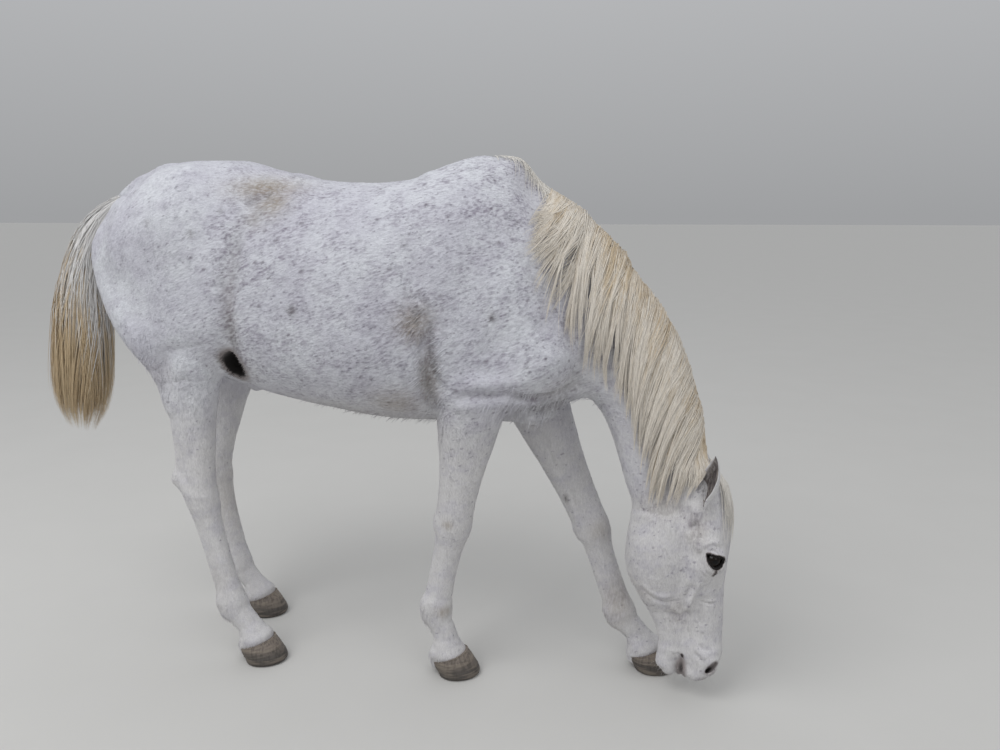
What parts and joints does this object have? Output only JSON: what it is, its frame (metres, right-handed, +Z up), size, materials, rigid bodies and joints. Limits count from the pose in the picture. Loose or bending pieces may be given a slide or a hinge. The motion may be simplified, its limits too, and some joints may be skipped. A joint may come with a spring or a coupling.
{
  "type": "horse",
  "caption": "Life-size still model of a grey horse that stands grazing with its head down, with mane, forelock and tail as locks of hair.",
  "frame": {"origin": "middle of the bounding box's underside, on the floor under the belly", "axes": "+X towards the head, +Y towards the horse's own left side, +Z up"},
  "size_m": [2.1559, 0.5692, 1.5285],
  "materials": {
    "coat": "short flat white-grey hair with dark flecks",
    "hair": "long cream and golden hair",
    "horn": "grey-brown hoof horn, dull and ringed",
    "eye": "dark wet eye"
  },
  "bodies": {
    "root": {"torso": "coat", "neck": "coat", "head": "coat", "ear_right": "coat", "ear_left": "coat", "fore_leg_right": "coat", "fore_leg_left": "coat", "hind_leg_right": "coat", "hind_leg_left": "coat", "mane": "hair", "forelock": "hair", "tail": "hair", "hoof_fore_right": "horn", "hoof_fore_left": "horn", "hoof_hind_right": "horn", "hoof_hind_left": "horn", "eye_right": "eye", "eye_left": "eye"}
  },
  "joints": []
}
